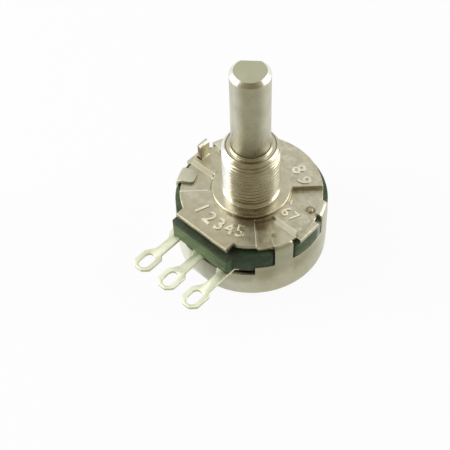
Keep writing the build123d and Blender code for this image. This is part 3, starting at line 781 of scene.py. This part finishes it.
zinc_plate = plated_metal("zinc_plated_strip", (0.55, 0.56, 0.56), (0.42, 0.43, 0.44), 0.38)
finished("washer_ring", "thrust_washer", 0.03 * mm, zinc_plate, "housing", "bright_steel")
finished("snap_ring", "retaining_ring", 0.05 * mm, zinc_plate, "spindle", "bright_steel")
finished("stop_tab_plate", "stop_plate", 0.05 * mm, zinc_plate, "spindle", "bright_steel")


# Terminal base
# Moulded from dark green phenolic powder: a ring that seats on the can's rim,
# with a block over the terminals and a stop inside. It shows between the plate and the can.
base_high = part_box("terminal_base")[1].z
green_moulding = (0.042, 0.08, 0.03)
green_flow = (0.095, 0.145, 0.058)
handled_brown = (0.2, 0.165, 0.1)
pale_dust = (0.16, 0.18, 0.10)
painted_front_shade = (0.009, 0.028, 0.007)
painted_light_patch = (0.36, 0.39, 0.33)
block_green = (0.17, 0.24, 0.085)
painted_shadow_under_plate = (0.02, 0.022, 0.012)
base_plastic, tree, shader = surface("green_phenolic", 0.0, Specular_IOR_Level=0.3)
flow = spread(tree, grain(tree, 1.6 * mm, stretch=(1, 1, 2.2), detail=6.0), 0.38, 0.72)
dust = spread(tree, grain(tree, 0.22 * mm, detail=2.0, offset=(5, 5, 5)), 0.58, 0.74, 0, 0.55)
handled = grain(tree, 1.1 * mm, stretch=(1, 1, 1.6), detail=5.0, offset=(6, 1, 3))
moulding = mixed(tree, flow, green_moulding, green_flow)
moulding = mixed(tree, spread(tree, handled, 0.5, 0.72, 0, 0.45), moulding, handled_brown)
feed(
    shader,
    Base_Color=mixed(tree, dust, moulding, pale_dust),
    Roughness=spread(tree, grain(tree, 0.8 * mm), 0.3, 0.7, 0.42, 0.6),
)
relief(tree, shader, grain(tree, 0.3 * mm, detail=4.0), 0.03 * mm)

# Painted shade on the front, painted light on a patch beside the right bar, a paler block, and a painted
# shadow in a line under the plate
block_height = (0, base_high - 0.9 * mm, 0.5 * mm)
line_height = span(-0.4, 0, 0.35, above=base_high)
touched(base_plastic, painted_front_shade, 0.8, near_side, X=span(-3, 6.6, 0.7), Y=span(-14, -9, 1))
touched(base_plastic, painted_light_patch, 0.75, near_side, X=span(10.2, 11.7, 0.15), Y=span(-8, -2, 0.3))
touched(base_plastic, block_green, 0.36, X=span(-9, 2.6, 1.6), Y=span(-14, -11, 1), Z=block_height)
touched(base_plastic, painted_shadow_under_plate, 0.7, Y=span(-14, -10, 1), Z=line_height)
finished("moulded_base", "terminal_base", 0.09 * mm, base_plastic, "housing", "green_phenolic")


# Resistor wafer and its prints
# Punched from brown paper laminate. Carbon ink is screened on its rear face as a horseshoe,
# silver ink as the two end pads and as the collector ring, and all are cured hard.
laminate, tree, shader = surface("paper_laminate", 0.0)
fibres = spread(tree, grain(tree, 0.5 * mm, stretch=(1, 5, 8), detail=5.0), 0.35, 0.7)
feed(
    shader,
    Base_Color=mixed(tree, fibres, (0.07, 0.045, 0.026), (0.13, 0.085, 0.045)),
    Roughness=spread(tree, grain(tree, 0.9 * mm), 0.3, 0.7, 0.42, 0.6),
)
relief(tree, shader, fibres, 0.015 * mm)
finished("laminate_wafer", "resistor_wafer", 0.04 * mm, laminate, "housing", "brown_laminate")


def ink(name, dark, light, metallic, roughness):
    """Screen-printed ink: faint cloth marks in a slightly uneven film."""
    material, tree, shader = surface(name, metallic)
    weave = spread(tree, grain(tree, 0.14 * mm, stretch=(1, 1.6, 1)), 0.35, 0.7)
    film = grain(tree, 0.5 * mm)
    feed(
        shader,
        Base_Color=mixed(tree, weave, dark, light),
        Roughness=spread(tree, film, 0.3, 0.7, roughness - 0.07, roughness + 0.1),
    )
    relief(tree, shader, weave, 0.008 * mm)
    return material


def dress(node, material):
    """Give a node that already has the right shape its finish."""
    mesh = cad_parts[node].data
    mesh.materials.clear()
    mesh.materials.append(material)


carbon_ink = ink("carbon_ink", (0.012, 0.012, 0.013), (0.03, 0.03, 0.031), 0.0, 0.5)
silver_ink = ink("silver_ink", (0.58, 0.57, 0.54), (0.74, 0.73, 0.69), 0.9, 0.42)
dress("carbon_track", carbon_ink)
dress("track_end_pads", silver_ink)
dress("collector_ring", silver_ink)


# Solder terminals and their rivets
# Punched from 0.45 mm brass strip and hot-tinned, so the tin is pale, a little yellow and uneven.
# Each lug lies in the base's slot and is riveted through the wafer to its print.
fresh_tin = (0.84, 0.86, 0.67)
flowed_tin = (0.73, 0.74, 0.54)
flux_stain = (0.42, 0.38, 0.22)
dull_tin = (0.55, 0.55, 0.4)
tinned, tree, shader = surface("hot_tinned_brass", 0.85)
pools = spread(tree, grain(tree, 1.4 * mm, stretch=(1.5, 0.8, 1), detail=5.0), 0.35, 0.7)
stains = spread(tree, grain(tree, 0.45 * mm, detail=3.0, offset=(3, 8, 2)), 0.62, 0.8, 0, 0.5)
feed(
    shader,
    Base_Color=mixed(tree, stains, mixed(tree, pools, fresh_tin, flowed_tin), flux_stain),
    Roughness=spread(tree, grain(tree, 0.9 * mm, offset=(4, 1, 9)), 0.3, 0.7, 0.3, 0.5),
)
relief(tree, shader, grain(tree, 0.7 * mm, detail=3.0), 0.02 * mm)
touched(tinned, dull_tin, 0.35, X=span(-9, -3.4, 1), Y=span(-22, -12, 1))
for side in ("left", "middle", "right"):
    lug, rivet = f"terminal_{side}", f"terminal_rivet_{side}"
    finished(f"solder_lug_{side}", lug, 0.07 * mm, tinned, "housing", "tinned_brass")
    finished(f"eyelet_rivet_{side}", rivet, 0.12 * mm, tinned, "housing", "tinned_brass", segments=3)


# Rotor
# Moulded from dark phenolic with a rim and a hub, pressed over the shaft's tail and riveted there,
# so that it carries the contact spring round.
rotor_plastic, tree, shader = surface("rotor_phenolic", 0.0)
rotor_flow = spread(tree, grain(tree, 0.9 * mm, detail=5.0), 0.35, 0.7)
feed(
    shader,
    Base_Color=mixed(tree, rotor_flow, (0.04, 0.028, 0.02), (0.075, 0.055, 0.04)),
    Roughness=spread(tree, grain(tree, 0.5 * mm), 0.3, 0.7, 0.35, 0.5),
)
relief(tree, shader, grain(tree, 0.25 * mm), 0.01 * mm)
finished("moulded_rotor", "rotor", 0.06 * mm, rotor_plastic, "spindle", "rotor_phenolic")


# Contact spring and its brushes
# Two-armed spring of rolled phosphor bronze, keyed on the shaft above the rotor. A carbon button
# riveted in the eye of each arm rubs on the track or on the collector ring.
spring_bronze = plated_metal("rolled_bronze", (0.62, 0.38, 0.17), (0.48, 0.27, 0.11), 0.3)
pressed_carbon = ink("pressed_carbon", (0.015, 0.015, 0.016), (0.04, 0.04, 0.04), 0.0, 0.38)
finished("wiper_spring", "contact_spring", 0.04 * mm, spring_bronze, "spindle", "spring_bronze")
for node in ("track_brush", "collector_brush"):
    finished(f"{node}_button", node, 0.08 * mm, pressed_carbon, "spindle", "carbon")


# Rear insulator
# Disc of pressed grey paper on the floor of the can, under the riveted tail of the shaft.
# Its felted fibres show in its colour, its gloss and its surface alike.
paper, tree, shader = surface("pressed_paper", 0.0)
felt = spread(tree, grain(tree, 0.3 * mm, stretch=(1, 2, 1), detail=6.0), 0.3, 0.7)
feed(
    shader,
    Base_Color=mixed(tree, felt, (0.27, 0.275, 0.28), (0.4, 0.4, 0.395)),
    Roughness=spread(tree, felt, 0, 1, 0.7, 0.85),
)
relief(tree, shader, felt, 0.02 * mm)
dress("rear_insulator", paper)


# Rear can
# Drawn from thin steel and nickel-plated. Its rim carries the base and the plate,
# and four claws cut in the rim are folded over the plate to hold the whole part together.
drawn_nickel = (0.56, 0.55, 0.43)
drawn_nickel_dull = (0.44, 0.42, 0.31)
can_metal = plated_metal(
    "nickel_plated_can", drawn_nickel, drawn_nickel_dull, 0.36, patch=4 * mm, marks=0.3 * mm, turned=True
)

# Painted light on the wall on one side, painted shade on the wall at the front right and a painted shadow
# between the terminals, and a darker front claw
can_marks = [
    ((0.86, 0.86, 0.71), 0.9, {"X": span(-13, -9, 1.5), "Z": span(-1, 7, 0.1)}),
    ((0.42, 0.4, 0.265), 0.75, {"X": span(2, 9.5, 3), "Y": span(-13, -6, 3), "Z": span(-1, 6, 1)}),
    ((0.36, 0.36, 0.29), 0.65, {"X": span(-9.3, -5.4, 0.9), "Y": span(-13, -6, 1), "Z": span(1.5, 7, 1)}),
    ((0.47, 0.44, 0.31), 0.7, {"X": span(1.5, 6, 1), "Y": span(-12.2, -8, 1), "Z": span(10.8, 12, 0.2)}),
]
for colour, strength, bounds in can_marks:
    touched(can_metal, colour, strength, near_side, **bounds)
finished("drawn_can", "rear_can", 0.06 * mm, can_metal, "housing", "can_nickel", angle=40)


# Studio
# A pale table that keeps the shadow, an even white surround, two soft lamps, and two cards that only
# reflections see, because bright metal shows what stands round it.
table_size = 4.0
table_glow = 0.92
surround_light = 0.5
white = (1, 1, 1, 1)
aim = Vector((0, 0, 12 * mm))
card_steps = 36


def seen_rays(tree):
    """One for a ray that comes from the camera, a reflection or clear matter, and otherwise zero."""
    ray = add(tree, "ShaderNodeLightPath").outputs
    mirrored = maths(tree, "MAXIMUM", ray["Is Camera Ray"], ray["Is Glossy Ray"])
    return maths(tree, "MAXIMUM", mirrored, ray["Is Transmission Ray"])


def toward(turn, height):
    """Direction from the part, at a turn to the right of the camera and a height in degrees."""
    azimuth = near_side + math.radians(turn)
    rise = math.radians(height)
    return Vector((math.sin(azimuth) * math.cos(rise), -math.cos(azimuth) * math.cos(rise), math.sin(rise)))


def lamp(name, turn, height, distance, width, tall, watts):
    """Soft window lamp at a turn to the right of the camera, aimed at the part."""
    light = bpy.data.lights.new(name, "AREA")
    light.shape = "RECTANGLE"
    light.size = width
    light.size_y = tall
    light.energy = watts
    item = new_object(name, light)
    back = toward(turn, height)
    item.location = aim + back * distance
    item.rotation_euler = (-back).to_track_quat("-Z", "Y").to_euler()


def card(name, spot, side_shades, middle_shade):
    """Card that only reflections see, bent through the points that two shares from 0 to 1 give."""
    steps = range(card_steps + 1)
    shares = [(i / card_steps, j / card_steps) for j in steps for i in steps]
    faces = []
    for j in range(card_steps):
        for i in range(card_steps):
            here = j * (card_steps + 1) + i
            there = here + card_steps + 1
            faces.append((here, here + 1, there + 1, there))
    mesh = bpy.data.meshes.new(name)
    mesh.from_pydata([spot(across, along) for across, along in shares], [], faces)
    shades = mesh.color_attributes.new("shade", "FLOAT_COLOR", "POINT")
    for shade, (across, along) in zip(shades.data, shares):
        blend = eased(abs(2 * across - 1), 0.3, 1)
        side_shade = side_shades[0 if across < 0.5 else 1]
        shade.color = (*Vector(middle_shade).lerp(Vector(side_shade), blend), 1)
    material = bpy.data.materials.new(name)
    tree = cleared_tree(material)
    painted = add(tree, "ShaderNodeAttribute", {"attribute_name": "shade"})
    glow = add(tree, "ShaderNodeEmission", Color=painted.outputs["Color"], Strength=1.0)
    add(tree, "ShaderNodeOutputMaterial", Surface=glow.outputs[0])
    mesh.materials.append(material)
    item = new_object(name, mesh)
    item.visible_camera = False
    item.visible_diffuse = False
    item.visible_shadow = False
    item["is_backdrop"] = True


def upright_spot(across, along):
    """Point of the card behind the camera, from the table up to well above it."""
    return aim + toward(-72 + 144 * across, -5 + 83 * along) * 130 * mm


def table_spot(across, along):
    """Point of the card that lies on the table round the near side of the part."""
    return toward(-100 + 200 * across, 0) * (15 + 115 * along) * mm + Vector((0, 0, 0.2 * mm))


bpy.ops.mesh.primitive_plane_add(size=table_size)
floor = bpy.context.object
floor.name = "table_top"
floor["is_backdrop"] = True
pale_grey = (0.82, 0.82, 0.82, 1)
paper_white, tree, shader = surface(
    "table_white", 0.0, Roughness=0.9, Base_Color=pale_grey, Specular_IOR_Level=0.0
)
glow = add(tree, "ShaderNodeEmission", Color=white, Strength=1.0)
share = maths(tree, "MULTIPLY", seen_rays(tree), table_glow)
lit_table = add(tree, "ShaderNodeMixShader", n0=share, n1=shader.outputs[0], n2=glow.outputs[0])
output = next(n for n in tree.nodes if n.type == "OUTPUT_MATERIAL")
tree.links.new(lit_table.outputs[0], output.inputs["Surface"])
floor.data.materials.append(paper_white)

world = bpy.data.worlds.new("studio")
bpy.context.scene.world = world
tree = cleared_tree(world)
surround = add(tree, "ShaderNodeBackground", Color=white, Strength=surround_light)
backdrop = add(tree, "ShaderNodeBackground", Color=white, Strength=1.0)
both = add(tree, "ShaderNodeMixShader", n0=seen_rays(tree), n1=surround.outputs[0], n2=backdrop.outputs[0])
add(tree, "ShaderNodeOutputWorld", Surface=both.outputs[0])

upright_shade = (0.56, 0.53, 0.44)
card("camera_side_card", upright_spot, (upright_shade, upright_shade), (0.33, 0.29, 0.20))
card("table_card", table_spot, ((1.1, 1.12, 1.15), (1.0, 1.0, 0.98)), (0.57, 0.57, 0.49))
lamp("left_window", turn=-92, height=34, distance=0.3, width=0.24, tall=0.34, watts=0.7)
lamp("right_window", turn=98, height=26, distance=0.3, width=0.18, tall=0.28, watts=0.36)


# Camera
# It stands where the photograph was taken from, as found from the part's own circles and edges,
# and turns from looking straight at the part by its yaw, pitch and roll.
camera_elevation = math.radians(50.951)
camera_roll = math.radians(-0.605)
camera_yaw = math.radians(-1.430)
camera_pitch = math.radians(-1.958)
camera_distance = 167.535 * mm
focal_pixels = 1070.782
image_pixels = 450
looks_at = Vector((0, 0, land_level))
camera_data = bpy.data.cameras.new("photo_camera")
camera_data.sensor_width = 36
camera_data.lens = focal_pixels / image_pixels * camera_data.sensor_width
camera_data.clip_start = 0.01
camera_data.clip_end = 20
camera = new_object("photo_camera", camera_data)
bpy.context.scene.camera = camera


def swung(first, second, angle):
    """Two square directions turned by an angle in their own plane."""
    return (
        first * math.cos(angle) - second * math.sin(angle),
        first * math.sin(angle) + second * math.cos(angle),
    )


back = Vector((0, -math.cos(camera_elevation), math.sin(camera_elevation)))
right, forward = swung(Vector((1, 0, 0)), -back, camera_yaw)
up, forward = swung(back.cross(Vector((1, 0, 0))), forward, camera_pitch)
up, right = swung(up, right, camera_roll)
axes = Matrix((right, up, -forward)).transposed().to_4x4()
turned_round = Matrix.Rotation(near_side, 4, "Z")
moved_back = Matrix.Translation(back * camera_distance)
camera.matrix_world = Matrix.Translation(looks_at) @ turned_round @ moved_back @ axes

bpy.context.scene.view_settings.view_transform = "Standard"
low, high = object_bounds()
